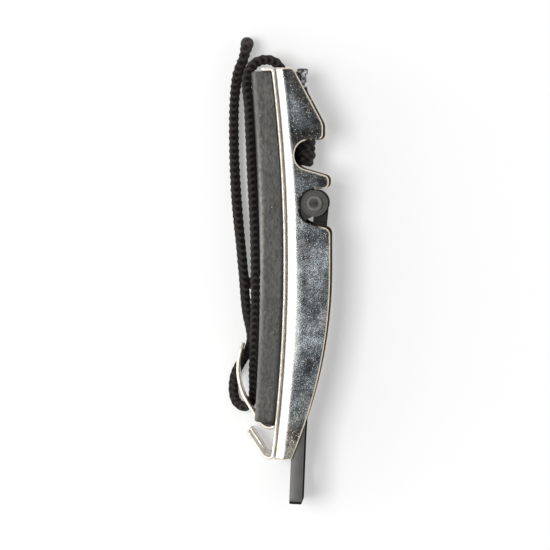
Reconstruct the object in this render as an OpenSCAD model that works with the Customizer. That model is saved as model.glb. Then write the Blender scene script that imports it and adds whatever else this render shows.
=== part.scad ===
// Folding string winder, in millimetres: a pressed steel channel holds a fold-out winder arm on a pivot,
// with a grip pad, a pocket clip and a doubled lanyard on the spine.
// X runs away from the spine, Y along the body, and Z up from the cheek that it lies on.

/* [Body] */
// Length of the channel from end to end
body_len = 107; // [103:0.5:110]
// Width across the two cheeks
body_w = 18; // [18:0.5:22]
// Thickness of the channel's sheet
sheet_t = 1; // [0.8:0.1:1.1]
// Outside radius of the folds between spine and cheeks
fold_r = 2.6; // [2.2:0.1:3]
// Radius of the bow in the spine
bow_r = 425; // [400:5:460]
// Radius of the opener notch
notch_r = 3.9; // [3.5:0.1:4.2]
// Width of the lanyard slot
slot_w = 3; // [2.9:0.1:3.4]

/* [Plate and pad] */
// Thickness of the spine plate
plate_t = 0.9; // [0.7:0.1:1]
// How far the plate's edges stay inside the cheeks
plate_in = 0.6; // [0.4:0.1:1]
// Reach of the lip over the top of the pad
lip_len = 2.6; // [2:0.1:3.2]
// Length of the hook's straight leg
hook_leg = 7.2; // [6:0.1:7.6]
// Width of the hook's pin notch
pin_notch = 5.2; // [4.6:0.1:6]
// Thickness of the grip pad at its crown
pad_t = 6.3; // [5.8:0.1:6.4]
// Radius of the grip pad's outer face
pad_r = 630; // [560:10:700]
// Width of the grip pad
pad_w = 16; // [14:0.5:17]

/* [Clip] */
// Thickness of the clip's spring steel
clip_t = 0.9; // [0.7:0.1:1]
// Width of the clip
clip_w = 5.6; // [5:0.1:5.8]
// Radius of the clip's belly
clip_r = 18; // [17:0.5:19]

/* [Pivot] */
// Radius of the bracket's round ears
ear_r = 3.65; // [3.5:0.05:3.8]
// Thickness of the bracket
ear_t = 1; // [0.8:0.1:1]
// Gap between bracket and cheek, and round the ears
ear_gap = 0.1; // [0.08:0.01:0.15]
// Radius of the pivot barrel
barrel_r = 1.5; // [1.4:0.05:1.6]
// Running clearance of the arm on the barrel
run_gap = 0.05; // [0.03:0.01:0.08]
// Thickness of a thrust washer
washer_t = 0.3; // [0.2:0.05:0.4]
// Radius of the screw's head
head_r = 2.2; // [2:0.1:2.4]

/* [Arm] */
// How far the folded arm's tip stands out below the body
arm_out = 12.6; // [10:0.1:14]
// Thickness of the arm
arm_t = 3.4; // [3:0.1:3.6]
// Gap between the arm's edges and the cheeks
arm_gap = 0.4; // [0.3:0.05:0.6]
// Lean of the folded arm, in degrees
arm_a = 5.7; // [5.2:0.1:6]
// Length of the tuner window
window_len = 22.5; // [20:0.5:24]
// Width of the tuner window
window_w = 8.8; // [8:0.1:9.4]

/* [Lanyard] */
// Diameter of the cord
cord_d = 2.6; // [2.4:0.1:2.6]

/* [Hidden] */
$fn = 120;
eps = 0.01;
top_y = body_len / 2;
mid_z = body_w / 2;
// the hair of room left between parts that are riveted or glued together
seat_gap = 0.02;
// crest of the bow on the outer face of the spine
spine_x = -3.68;
bow_y = 0.5;
bow_half = 8;
// places along the body, each from the end or the feature that it belongs to
pivot = [3.87, top_y - 36.92];
notch_x = 2.3;
notch_y = top_y - 23.85;
belly_y = -top_y + 26.7;
pad_low = -top_y + 10.3;
// reach of the cheeks at the belly, the tab, the lobe, and their top and bottom corners
belly_x = 8.2;
tab_x = 7.8;
lobe_x = 6.2;
lobe_y = top_y - 15.3;
top_x = -1.9;
low_x = -2.4;
// shoulder under the pivot, and the belly's arc, as far as the straight edge between them has room
shoulder = 7;
shoulder_r = 2;
belly_r = min(130, (pivot[1] - shoulder - belly_y - shoulder_r)
    / tan(atan((belly_x - low_x) / (belly_y + top_y)) / 2));
// round cut-out of the cheeks about the pivot
cut_r = ear_r + 0.35;
// the lanyard's slot in the end wall
slot_half = cord_d + 0.5;
slot_deep = 5;
slot_r = 1.2;
// the spine plate's folds
lip_r = 0.8;
hook_r1 = 0.9;
hook_r2 = 2.5;
hook_a = 57.4;
plate_w = body_w - 2 * plate_in;
plate_r = bow_r - plate_t / 2;
lip_a = asin((top_y - plate_t / 2 - bow_y - lip_r) / (plate_r - lip_r));
tail_a = asin((top_y - plate_t / 2 + bow_y - hook_r1) / (plate_r - hook_r1));
plate_path = [[lip_len], [lip_r, lip_a - 90], [plate_r, -lip_a - tail_a], [hook_r1, tail_a - 90],
    [hook_r2, -hook_a], [hook_leg]];
plate_from = [spine_x - bow_r, bow_y] + (plate_r - lip_r) * turned([1, 0], lip_a) + [-lip_len, lip_r];
// the clip's foot under the pad, and its folds
foot_y = -top_y + 12.7;
foot_len = 7.6;
foot_a = bow_a(foot_y);
clip_root_r = 1;
clip_fold_r = 3.6;
clip_leg = 6;
clip_gap = 0.3;
clip_path = [[foot_len], [clip_root_r, -foot_a - 90], [clip_fold_r, -58], [clip_leg], [clip_r, -55]];
// the pad: crest of its outer face, and its ends
pad_x = spine_x - plate_t - pad_t;
pad_y = 1.8;
pad_round = 1.1;
pad_top = top_y - plate_t - 0.05;
// levels across the body
ear_z = sheet_t + ear_gap;
hub_z = ear_z + ear_t + washer_t + run_gap;
hub_w = body_w - 2 * hub_z;
arm_z = sheet_t + arm_gap;
arm_w = body_w - 2 * arm_z;
// the arm: its hub's right side is flush with the bar
hub_r = 3.5;
arm_off = hub_r - arm_t / 2;
step_y = ear_r + 1.2;
bend_a = 3.4;
bend_r = 150;
end_len = 16;
bend_len = bend_r * bend_a * PI / 180;
arm_len = pivot[1] + top_y + arm_out;
bar_len = arm_len - end_len - bend_len;
arm_path = [[bar_len - step_y], [bend_r, bend_a], [end_len]];
window_end = 5;
// the screw in the barrel
shank_r = 0.85;
thread_r = 0.9;
thread_len = 6;
// rivets
rivet_r = 1.1;
rivet_gap = 0.05;
rivet_head = 1.9;
rivet_h = 0.45;
bracket_rivets = [pivot[1] - 3.2, pivot[1] + 3.6];
plate_rivet = top_y - 13.5;
spring_rivet_y = pivot[1] - 28.6;
// the bracket's arms, from its fold to its round ears
bracket_low = 6.6;
bracket_high = 6.8;
bracket_x = 2.2;
ear_neck = 3.3;
// the leaf spring along the inside of the spine
leaf_t = 0.5;
leaf_w = 6;
leaf_foot = 12;
leaf_gap = 0.1;
leaf_a = bow_a(spring_rivet_y);
leaf_x = sheet_t + leaf_t / 2;
// from the end of its foot to the pivot, and the lean that lays it beside the hub
leaf_to = turned(pivot - [spine_x - bow_r, bow_y], -leaf_a) - [bow_r + leaf_x, leaf_foot / 2];
leaf_lean = atan2(leaf_to[0], leaf_to[1]) - asin((hub_r + leaf_gap + leaf_t / 2) / norm(leaf_to));
leaf_path = [[leaf_foot], [6, -leaf_lean], [norm(leaf_to) + 1.2]];
// the knot and its tails
knot_r = 3.6;
knot_pos = [0.25, notch_y + 1.95, mid_z];
wrap_step = 2.55;
along = body_len / 107;
tail_up = [[0.95, 37.1, 10.4], [0.8, 42, 10.5], [0.5, 46, 10.6], [0.4, 48.2, 10.6]];
tail_down = [[0.95, 37.1, 7.6], [1, 39.5, 7.6], [1.2, 42, 7.5], [1.3, 43.8, 7.4]];
// the lanyard's route: both legs over the lip and down the pad, as x, y, upper z, lower z
lanyard_pair = [
    [-1.75, 37.1, 10.4, 7.6], [-3.6, 47, 10.4, 7.6], [-5.2, 52.4, 10.4, 7.6], [-7, 55, 10.4, 7.6],
    [-9.6, 55.9, 10.4, 7.6], [-12.8, 54.9, 10.4, 7.6], [-14.9, 51.4, 10.4, 7.6], [-14.4, 42, 10.4, 7.6],
    [-13.6, 24, 10.6, 7.6], [-12.8, 8, 10.8, 7.6]
];
// the upper leg's way through the clip, round its fold and up to the bight
lanyard_upper = [
    [-12.6, -8, 10.8], [-12.9, -22, 10.4], [-13.3, -30, 8], [-13.5, -36.2, 5], [-14.2, -39, 4.4],
    [-16.3, -40.2, 3.1], [-18.4, -39, 1.9], [-19.3, -36, 1.5], [-18.8, -31.4, 1.7], [-16.8, -27.4, 3.4],
    [-14.9, -24.4, 5.3], [-13.9, -20.6, 7.5], [-15.2, -13, 8.3], [-16.4, 0, 7], [-18.5, 20, 4.7],
    [-18.9, 42, 5], [-17.8, 52, 7.2], [-16, 56.6, 8.4]
];
// the bight, the lower leg and its own fold
lanyard_lower = [
    [-15.4, 59.5, 7.4], [-15.2, 60.6, 4.9], [-15.5, 59.5, 2.4], [-16.3, 56.8, 1.4], [-18.6, 48, 1.4],
    [-19, 30, 1.4], [-17.2, 4, 1.4], [-16.6, -2.4, 1.6], [-16, -5, 2.5], [-14.6, -6.1, 4.5],
    [-13.2, -5, 6.7], [-12.6, -2, 7.6]
];
lanyard_route = concat(
    [for (p = lanyard_pair) [p[0], p[1], p[2]]],
    lanyard_upper,
    lanyard_lower,
    [for (i = [1 : len(lanyard_pair)]) let (p = lanyard_pair[len(lanyard_pair) - i]) [p[0], p[1], p[3]]]
);

function unit(v) = v / norm(v);
function turned(v, a) = [v[0] * cos(a) - v[1] * sin(a), v[0] * sin(a) + v[1] * cos(a)];
// the bow's angle at a height
function bow_a(y) = asin((y - bow_y) / bow_r);
// how far out the spine's outer face stands there
function bow_x(y) = spine_x - bow_r * (1 - cos(bow_a(y)));
// a cord's points on a body of another length
function laid(p) = [for (q = p) [q[0], q[1] * along, q[2]]];

// the points of one corner of an outline, rounded to its radius
function corner(p, i) =
    let (n = len(p), q = [p[i][0], p[i][1]], r = p[i][2])
    let (a = p[(i + n - 1) % n], c = p[(i + 1) % n])
    let (e = unit([a[0], a[1]] - q), f = unit([c[0], c[1]] - q))
    let (half = acos(e * f) / 2, side = sign(e[1] * f[0] - e[0] * f[1]))
    let (turn = 180 - 2 * half, steps = max(3, ceil(turn / 9), ceil(r * turn / 150)))
    let (centre = q + r / sin(half) * unit(e + f), arm = q + r / tan(half) * e - centre)
    r == 0 ? [q] : [for (j = [0 : steps]) centre + turned(arm, side * turn * j / steps)];

// a closed outline, anticlockwise, of corners [x, y, radius]
module rounded(p) {
    polygon([for (i = [0 : len(p) - 1]) each corner(p, i)]);
}

// a rounded box outline from one corner to the other
function box_outline(x0, y0, x1, y1, r) = [[x0, y0, r], [x1, y0, r], [x1, y1, r], [x0, y1, r]];

// a block with its two left corners rounded
module left_round(u, v, w, r, reach) {
    rounded([[u, v, r], [u + reach, v, 0], [u + reach, v + w, 0], [u, v + w, r]]);
}

// sweeps a section along the bowed spine: x away from its outer face, y across the body
module along_spine() {
    translate([spine_x - bow_r, bow_y, 0]) rotate([0, 0, -bow_half])
        rotate_extrude(angle = 2 * bow_half, $fn = 1800) translate([bow_r, 0]) children();
}

// a frame on the spine's outer face at an angle of the bow
module on_bow(a) {
    translate([spine_x - bow_r, bow_y, 0]) rotate([0, 0, a]) translate([bow_r, 0, 0]) children();
}

// section of a pressed channel that starts at u and v
module channel_section(u, v, w, t, r) {
    difference() {
        left_round(u, v, w, r, 30);
        left_round(u + t, v + t, w - 2 * t, r - t, 31);
    }
}

// places and headings along a bent strip: [length], or [radius, turn] with a left turn positive
function walk(path, p = [0, 0], h = 90, i = 0) =
    i == len(path) ? [[p, h]] :
    let (s = path[i], bend = len(s) > 1)
    let (n = bend ? max(ceil(abs(s[1]) / 6), ceil(abs(s[0] * s[1]) / 180)) : 1)
    let (on = s[0] * turned([1, 0], h))
    let (stops = [for (j = [0 : n]) bend ? swung(p, h, s[0], s[1] * j / n) : [p + j * on, h]])
    concat([for (j = [0 : n - 1]) stops[j]], walk(path, stops[n][0], stops[n][1], i + 1));
function swung(p, h, r, a) = [p + sign(a) * r * (turned([0, 1], h) - turned([0, 1], h + a)), h + a];

// the strip itself, of one thickness, from z over its width
module ribbon(path, t, z, w, p = [0, 0], h = 90) {
    q = walk(path, p, h);
    translate([0, 0, z]) linear_extrude(w) polygon(concat(
        [for (k = q) k[0] + t / 2 * turned([0, -1], k[1])],
        [for (i = [len(q) - 1 : -1 : 0]) q[i][0] + t / 2 * turned([0, 1], q[i][1])]
    ));
}

// a frame at the strip's end, with +Y the way that it runs
module at_end(path, p = [0, 0], h = 90) {
    q = walk(path, p, h);
    e = q[len(q) - 1];
    translate([e[0][0], e[0][1], 0]) rotate([0, 0, e[1] - 90]) children();
}

// a smooth way through hand-placed points, with a ring about every 7 mm
function way(p) = concat([for (i = [0 : len(p) - 2]) each span(p, i)], [p[len(p) - 1]]);
function span(p, i) =
    let (b = p[i], c = p[i + 1], k = ceil(norm(c - b) / 7))
    let (a = i > 0 ? p[i - 1] : 2 * b - c, d = i + 2 < len(p) ? p[i + 2] : 2 * c - b)
    let (t1 = sqrt(norm(b - a)), t2 = sqrt(norm(c - b)), t3 = sqrt(norm(d - c)))
    let (m1 = t2 * ((b - a) / t1 - (c - a) / (t1 + t2) + (c - b) / t2))
    let (m2 = t2 * ((c - b) / t2 - (d - b) / (t2 + t3) + (d - c) / t3))
    [for (j = [0 : k - 1]) hermite(b, c, m1, m2, j / k)];
function hermite(b, c, m, n, t) =
    (2 * t * t * t - 3 * t * t + 1) * b + (t * t * t - 2 * t * t + t) * m
    + (3 * t * t - 2 * t * t * t) * c + (t * t * t - t * t) * n;
function tangents(q) = [for (i = [0 : len(q) - 1]) unit(q[min(i + 1, len(q) - 1)] - q[max(i - 1, 0)])];
// sideways lines that turn as little as they can along the way
function sides(t) = [
    for (i = 0, s = unit(cross(t[0], [0, 0, 1])); i < len(t);
        i = i + 1, s = i < len(t) ? unit(s - (s * t[i]) * t[i]) : s) s
];

// a cord swept along a way as one closed solid
module cord_tube(p, d) {
    q = way(p);
    t = tangents(q);
    s = sides(t);
    n = 8;
    m = len(q);
    walls = [for (i = [0 : m - 2], j = [0 : n - 1]) [i * n + j, i * n + (j + 1) % n]];
    rings = [for (i = [0 : m - 1], j = [0 : n - 1])
        q[i] + d / 2 * (cos(360 * j / n) * s[i] + sin(360 * j / n) * cross(t[i], s[i]))];
    polyhedron(
        points = concat(rings, [q[0], q[m - 1]]),
        faces = concat(
            [for (w = walls) [w[0], w[0] + n, w[1]]],
            [for (w = walls) [w[1], w[0] + n, w[1] + n]],
            [for (j = [0 : n - 1]) [m * n, j, (j + 1) % n]],
            [for (j = [0 : n - 1]) [m * n + 1, (m - 1) * n + (j + 1) % n, (m - 1) * n + j]]
        )
    );
}

// a rivet along +X through the sheets outside and inside the spine's outer face
module rivet(outside, inside) {
    rotate([0, 90, 0]) {
        translate([0, 0, -outside]) cylinder(r = rivet_r, h = outside + inside);
        translate([0, 0, -outside - rivet_h]) cylinder(r = rivet_head, h = rivet_h);
        translate([0, 0, inside]) cylinder(r = rivet_head, h = rivet_h);
    }
}

// its hole through everything, and the room for its head
module rivet_hole() {
    rotate([0, 90, 0]) translate([0, 0, -4]) cylinder(r = rivet_r + rivet_gap, h = 8);
}
module head_room(depth = rivet_h + 0.15) {
    rotate([0, 90, 0]) translate([0, 0, -plate_t - depth]) cylinder(r = rivet_head + 0.2, h = depth + eps);
}

// a rivet's place on the spine
module rivet_place(y) {
    on_bow(bow_a(y)) translate([0, 0, mid_z]) children();
}
module all_holes() {
    for (y = concat(bracket_rivets, [plate_rivet, spring_rivet_y, foot_y])) rivet_place(y) rivet_hole();
}

// side view of a cheek: sloped top, opener notch, tab, round cut-out for the pivot and a long bowed edge
module cheek_outline() {
    left = -16;
    notch_in = notch_x - notch_r;
    cut_in = pivot[0] - cut_r;
    cut_top = pivot[1] + cut_r;
    rounded([
        [left, top_y, 0],
        [left, -top_y, 0],
        [low_x, -top_y, 0.5],
        [belly_x, belly_y, belly_r],
        [belly_x, pivot[1] - shoulder, shoulder_r],
        [cut_in, pivot[1] - 4.6, cut_r],
        [cut_in, cut_top, cut_r],
        [tab_x, cut_top, 1.5],
        [tab_x, cut_top + 3.4, 1.5],
        [notch_in, notch_y - 2.9, notch_r],
        [notch_in, notch_y + notch_r, notch_r],
        [lobe_x, notch_y + notch_r + 0.5, 1.5],
        [lobe_x, lobe_y, 4],
        [top_x, top_y, 1.4]
    ]);
}

// slot through the end wall, open through the spine's top edge
module lanyard_slot() {
    x = bow_x(top_y);
    translate([0, top_y - slot_deep, mid_z]) rotate([-90, 0, 0]) linear_extrude(slot_deep + 1)
        rounded(box_outline(x - 2, -slot_half, x + slot_w + 0.15, slot_half, slot_r));
}

module channel_body() {
    color("silver")
    difference() {
        intersection() {
            translate([0, 0, -1]) linear_extrude(body_w + 2) cheek_outline();
            along_spine() left_round(0, 0, body_w, fold_r, 30);
        }
        // the hollow, which stops under the end wall
        intersection() {
            along_spine() left_round(sheet_t, sheet_t, body_w - 2 * sheet_t, fold_r - sheet_t, 31);
            translate([-30, -top_y - 5, -1]) cube([70, 2 * top_y + 5 - sheet_t, body_w + 2]);
        }
        lanyard_slot();
        all_holes();
    }
}

module spine_plate() {
    color("silver")
    difference() {
        ribbon(plate_path, plate_t - seat_gap, plate_in, plate_w, plate_from, 0);
        at_end(plate_path, plate_from, 0) {
            translate([-3, -4.4, mid_z]) rotate([0, 90, 0]) cylinder(r = pin_notch / 2, h = 6);
            translate([-3, -4.4, mid_z - pin_notch / 2]) cube([6, 6, pin_notch]);
        }
        all_holes();
    }
}

module grip_pad() {
    v0 = mid_z - pad_w / 2;
    color("dimgray")
    difference() {
        intersection() {
            translate([pad_x - pad_r, pad_y, 0]) rotate([0, 0, -6]) rotate_extrude(angle = 12, $fn = 1800)
                translate([pad_r, 0]) left_round(0, v0, pad_w, pad_round, 20);
            along_spine() translate([-plate_t - 20, v0 - 1]) square([20, pad_w + 2]);
            translate([-40, pad_low, -1]) cube([80, pad_top - pad_low, body_w + 2]);
        }
        for (y = concat(bracket_rivets, [plate_rivet, spring_rivet_y])) rivet_place(y) head_room();
        rivet_place(foot_y) head_room(clip_t + rivet_h + 0.2);
        // a channel for the clip, from the end of its foot to where it leaves the pad
        on_clip() translate([0, -clip_gap, 0]) ribbon(concat([[clip_gap]], clip_path),
            clip_t + 2 * clip_gap, mid_z - clip_w / 2 - clip_gap, clip_w + 2 * clip_gap);
    }
}

// the clip's own frame: origin at the end of its foot, +Y along the foot
module on_clip() {
    on_bow(foot_a) translate([-plate_t - seat_gap - clip_t / 2, foot_len / 2, 0])
        rotate([0, 0, 180]) children();
}

module pocket_clip() {
    color("gainsboro")
    difference() {
        on_clip() ribbon(clip_path, clip_t, mid_z - clip_w / 2, clip_w);
        rivet_place(foot_y) rivet_hole();
    }
}

// its head sits on the clip's foot
module clip_rivet() {
    color("darkgray")
    rivet_place(foot_y) rivet(clip_t + seat_gap + plate_t, sheet_t);
}

module pivot_bracket() {
    color("black")
    difference() {
        intersection() {
            along_spine() channel_section(sheet_t, ear_z, body_w - 2 * ear_z, ear_t, fold_r - sheet_t);
            linear_extrude(body_w) {
                translate(pivot) circle(ear_r);
                translate([0, pivot[1]]) polygon([[-12, -bracket_low], [-bracket_x, -bracket_low],
                    [pivot[0], -ear_neck], [pivot[0], ear_neck],
                    [-bracket_x, bracket_high], [-12, bracket_high]]);
            }
        }
        translate([pivot[0], pivot[1], -1]) cylinder(r = barrel_r + 0.02, h = body_w + 2);
        for (y = bracket_rivets) rivet_place(y) rivet_hole();
    }
}

module spine_rivets() {
    color("darkgray") {
        for (y = bracket_rivets) rivet_place(y) rivet(plate_t, sheet_t + ear_t);
        rivet_place(plate_rivet) rivet(plate_t, sheet_t);
    }
}

// the arm's own frame: origin on the pivot axis, +Y along the bar
module on_arm() {
    translate([pivot[0], pivot[1], 0]) rotate([0, 0, 180 - arm_a]) children();
}

module winder_arm() {
    color("black")
    on_arm() difference() {
        union() {
            translate([0, 0, hub_z]) cylinder(r = hub_r, h = hub_w);
            translate([-hub_r, 0, hub_z]) cube([arm_t, step_y + 1, hub_w]);
            ribbon(arm_path, arm_t, arm_z, arm_w, [-arm_off, step_y]);
        }
        translate([0, 0, -1]) cylinder(r = barrel_r + run_gap, h = body_w + 2);
        at_end(arm_path, [-arm_off, step_y]) {
            translate([-4, -window_end - window_len / 2, mid_z]) rotate([0, 90, 0]) linear_extrude(10)
                rounded(box_outline(-window_w / 2, -window_len / 2, window_w / 2, window_len / 2, 1.8));
            translate([-5, 0, arm_z]) tip_corner();
            translate([-5, 0, arm_z + arm_w]) mirror([0, 0, 1]) tip_corner();
        }
    }
}

// what is cut away to round a corner of the arm's tip
module tip_corner() {
    r = 1.2;
    difference() {
        translate([0, -r, -1]) cube([10, r + 1, r + 1]);
        translate([-1, -r, r]) rotate([0, 90, 0]) cylinder(r = r, h = 12);
    }
}

module pivot_barrel() {
    color("dimgray")
    translate([pivot[0], pivot[1], 0]) difference() {
        union() {
            translate([0, 0, ear_z]) cylinder(r = barrel_r, h = body_w - 2 * ear_z);
            translate([0, 0, ear_z - 0.8]) cylinder(r = head_r, h = 0.8);
        }
        translate([0, 0, body_w - ear_z - thread_len]) cylinder(r = thread_r, h = thread_len + 1);
    }
}

module pivot_screw() {
    color("dimgray")
    translate([pivot[0], pivot[1], body_w - ear_z]) difference() {
        union() {
            cylinder(r = head_r, h = 0.8);
            translate([0, 0, -thread_len + 0.4]) cylinder(r = shank_r, h = thread_len);
        }
        for (x = [-0.75, 0.75]) translate([x, 0, 0.3]) cylinder(r = 0.42, h = 1);
    }
}

module thrust_washers() {
    color("ivory")
    for (z = [ear_z + ear_t, body_w - ear_z - ear_t - washer_t])
        translate([pivot[0], pivot[1], z]) difference() {
            cylinder(r = hub_r - 0.2, h = washer_t);
            translate([0, 0, -1]) cylinder(r = barrel_r + run_gap, h = washer_t + 2);
        }
}

module friction_spring() {
    color("lightgray")
    difference() {
        on_bow(leaf_a) translate([leaf_x, -leaf_foot / 2, 0])
            ribbon(leaf_path, leaf_t, mid_z - leaf_w / 2, leaf_w);
        rivet_place(spring_rivet_y) rivet_hole();
    }
}

module spring_rivet() {
    color("darkgray")
    rivet_place(spring_rivet_y) rivet(plate_t, sheet_t + leaf_t);
}

module lanyard() {
    color("black")
    cord_tube(laid(lanyard_route), cord_d);
}

module lanyard_knot() {
    color("black")
    translate(knot_pos) rotate([90, 0, 0]) rotate_extrude() {
        translate([0, -2 * wrap_step]) square([knot_r - cord_d / 2 + 0.6, 4 * wrap_step]);
        for (i = [-1.5 : 1 : 1.5]) translate([knot_r - cord_d / 2, i * wrap_step]) circle(cord_d / 2);
    }
}

module lanyard_tails() {
    color("black") {
        cord_tube(laid(tail_up), cord_d);
        cord_tube(laid(tail_down), cord_d);
    }
}

// heat-sealed ends
module tail_tips() {
    color("slategray") {
        translate(laid(tail_up)[3] + [0, 0.15, 0]) rotate([-90, 0, 0]) {
            cylinder(r1 = 1.2, r2 = 1.1, h = 3);
            translate([0, 0, 3]) cylinder(r1 = 1.1, r2 = 1.5, h = 1.4);
            translate([0, 0, 4.4]) cylinder(r = 1.5, h = 0.8);
        }
        translate(laid(tail_down)[3] + [0, 0.15, 0]) rotate([-90, 0, 0])
            cylinder(r1 = 1.2, r2 = 1.4, h = 1.2);
    }
}

channel_body();
spine_plate();
grip_pad();
pocket_clip();
clip_rivet();
pivot_bracket();
spine_rivets();
winder_arm();
pivot_barrel();
pivot_screw();
thrust_washers();
friction_spring();
spring_rivet();
lanyard();
lanyard_knot();
lanyard_tails();
tail_tips();
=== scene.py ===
"""Dresses the folding string winder: pressed channel, spine plate, grip pad, clip, winder arm and lanyard.

Lengths in the shape functions are millimetres, and put() turns them into metres.
"""

import math

import bpy
import numpy as np
from mathutils import Matrix, Vector
from mathutils.geometry import delaunay_2d_cdt


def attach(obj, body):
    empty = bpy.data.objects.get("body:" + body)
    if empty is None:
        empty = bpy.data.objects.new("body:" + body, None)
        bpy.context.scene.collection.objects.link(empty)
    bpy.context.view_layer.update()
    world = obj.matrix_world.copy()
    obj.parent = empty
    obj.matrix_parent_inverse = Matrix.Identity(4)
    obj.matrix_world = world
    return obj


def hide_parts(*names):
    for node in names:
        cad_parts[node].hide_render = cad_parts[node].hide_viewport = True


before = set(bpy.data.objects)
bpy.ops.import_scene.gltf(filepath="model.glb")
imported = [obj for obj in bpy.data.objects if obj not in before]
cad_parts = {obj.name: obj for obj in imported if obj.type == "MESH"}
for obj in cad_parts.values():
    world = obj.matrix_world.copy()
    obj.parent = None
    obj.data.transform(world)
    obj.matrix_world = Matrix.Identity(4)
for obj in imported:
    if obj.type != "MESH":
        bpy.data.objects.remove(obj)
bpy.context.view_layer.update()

bl_info = {
    "name": "Folding string winder",
    "version": (1, 0, 0),
    "blender": (4, 5, 0),
    "location": "View3D > Sidebar > Winder",
    "description": "Builds the outside of a folding string winder around its packed model",
    "category": "Object",
}

MM = 0.001
WHITE = (1.0, 1.0, 1.0)

# the part's own numbers in millimetres and degrees, as in its source
TOP, WIDTH = 53.5, 18.0
MID = WIDTH / 2
SPINE_X, BOW_R, BOW_Y = -3.68, 425.0, 0.5
BOW = np.array([SPINE_X - BOW_R, BOW_Y])
PIVOT = np.array([3.87, 16.58])
CUT_R, CUT_LOW = 4.0, 4.6
NOTCH = np.array([2.3, 29.65])
NOTCH_R, NOTCH_LOW = 3.9, 2.9
BELLY_X, BELLY_Y, BELLY_R, SHOULDER = 8.2, -26.8, 130, 7
TAB_X, TAB_LEN, LOBE_X, LOBE_DROP = 7.8, 3.4, 6.2, 15.3
TOP_X, LOW_X = -1.9, -2.4
SLOT_ROOM, SLOT_DEEP, SLOT_R = 0.5, 5, 1.2
SEAT = 0.02
PLATE_T, PLATE_IN, LIP, LIP_R = 0.9, 0.6, 2.6, 0.8
HOOK_R1, HOOK_R2, HOOK_A, HOOK_LEG = 0.9, 2.5, 57.4, 7.2
PIN_NOTCH, PIN_DEEP = 5.2, 4.4
PAD_T, PAD_Y, PAD_R, PAD_W = 6.3, 1.8, 630.0, 16.0
PAD_X = SPINE_X - PLATE_T - PAD_T
PAD_LOW, PAD_TOP = -TOP + 10.3, TOP - PLATE_T - 0.05
CLIP_T, CLIP_W, FOOT_Y, FOOT_LEN = 0.9, 5.6, -40.8, 7.6
CLIP_ROOT_R, CLIP_FOLD, CLIP_LEG, CLIP_BOW = 1, [3.6, -58], [6], [18, -55]
HUB_R, HUB_Z = 3.5, 2.45
ARM_T, ARM_A, ARM_Z = 3.4, 5.7, 1.4
ARM_LEN = PIVOT[1] + TOP + 12.6
ARM_STEP, ARM_BEND, ARM_END = 4.85, [150, 3.4], 16
WINDOW_LEN, WINDOW_W, WINDOW_END = 22.5, 8.8, 5
KNOT = np.array([0.25, 31.6, MID])
# the dressed tool's own: the end wall's gap, its slot's depth and its reach, and the radius of the hub's bore
WALL_GAP, WALL_SLOT, WALL_X = 0.05, 2.15, -1.75
BORE_R = 1.56

# both legs of the lanyard over the lip and down the pad: x, y, upper z, lower z
PAIR = [
    (-1.75, 37.1, 10.4, 7.6), (-3.6, 47, 10.4, 7.6), (-5.2, 52.4, 10.4, 7.6), (-7, 55, 10.4, 7.6),
    (-9.6, 55.9, 10.4, 7.6), (-12.8, 54.9, 10.4, 7.6), (-14.9, 51.4, 10.4, 7.6), (-14.4, 42, 10.4, 7.6),
    (-13.6, 24, 10.6, 7.6), (-12.8, 8, 10.8, 7.6),
]
# the upper leg's way through the clip, round its fold and up to the bight
UPPER = [
    (-12.6, -8, 10.8), (-12.9, -22, 10.4), (-13.3, -30, 8), (-13.5, -36.2, 5), (-14.2, -39, 4.4),
    (-16.3, -40.2, 3.1), (-18.4, -39, 1.9), (-19.3, -36, 1.5), (-18.8, -31.4, 1.7), (-16.8, -27.4, 3.4),
    (-14.9, -24.4, 5.3), (-13.9, -20.6, 7.5), (-15.2, -13, 8.3), (-16.4, 0, 7), (-18.5, 20, 4.7),
    (-18.9, 42, 5), (-17.8, 52, 7.2), (-16, 56.6, 8.4),
]
# the bight, the lower leg and its own fold
LOWER = [
    (-15.4, 59.5, 7.4), (-15.2, 60.6, 4.9), (-15.5, 59.5, 2.4), (-16.3, 56.8, 1.4), (-18.6, 48, 1.4),
    (-19, 30, 1.4), (-17.2, 4, 1.4), (-16.6, -2.4, 1.6), (-16, -5, 2.5), (-14.6, -6.1, 4.5),
    (-13.2, -5, 6.7), (-12.6, -2, 7.6),
]
BIGHT = LOWER[1]
ROUTE = [p[:3] for p in PAIR] + UPPER + LOWER + [(p[0], p[1], p[3]) for p in PAIR[::-1]]
TAILS = [
    [(0.95, 37.1, 10.4), (0.8, 42, 10.5), (0.5, 46, 10.6), (0.4, 48.2, 10.6)],
    [(0.95, 37.1, 7.6), (1, 39.5, 7.6), (1.2, 42, 7.5), (1.3, 43.8, 7.4)],
]
# the tails' sealed ends: radius, distance along
TIPS = [
    [(0.05, -0.4), (1.15, -0.3), (1.2, 1), (1.05, 2.4), (1.15, 3.2), (1.45, 4.2), (1.5, 4.9), (1.2, 5.2),
     (0.05, 5.25)],
    [(0.05, -0.4), (1.15, -0.3), (1.25, 0.6), (1.4, 1.1), (1.1, 1.35), (0.05, 1.4)],
]
# points round the cord, distance between its rings, and the angle under which its mesh is smooth
KNIT_SIDES, KNIT_STEP, KNIT_SMOOTH = 28, 0.2, 80
# points on each rounded corner of an outline, and on each span of a spline
CORNER_POINTS, SPAN_POINTS = 17, 80


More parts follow.
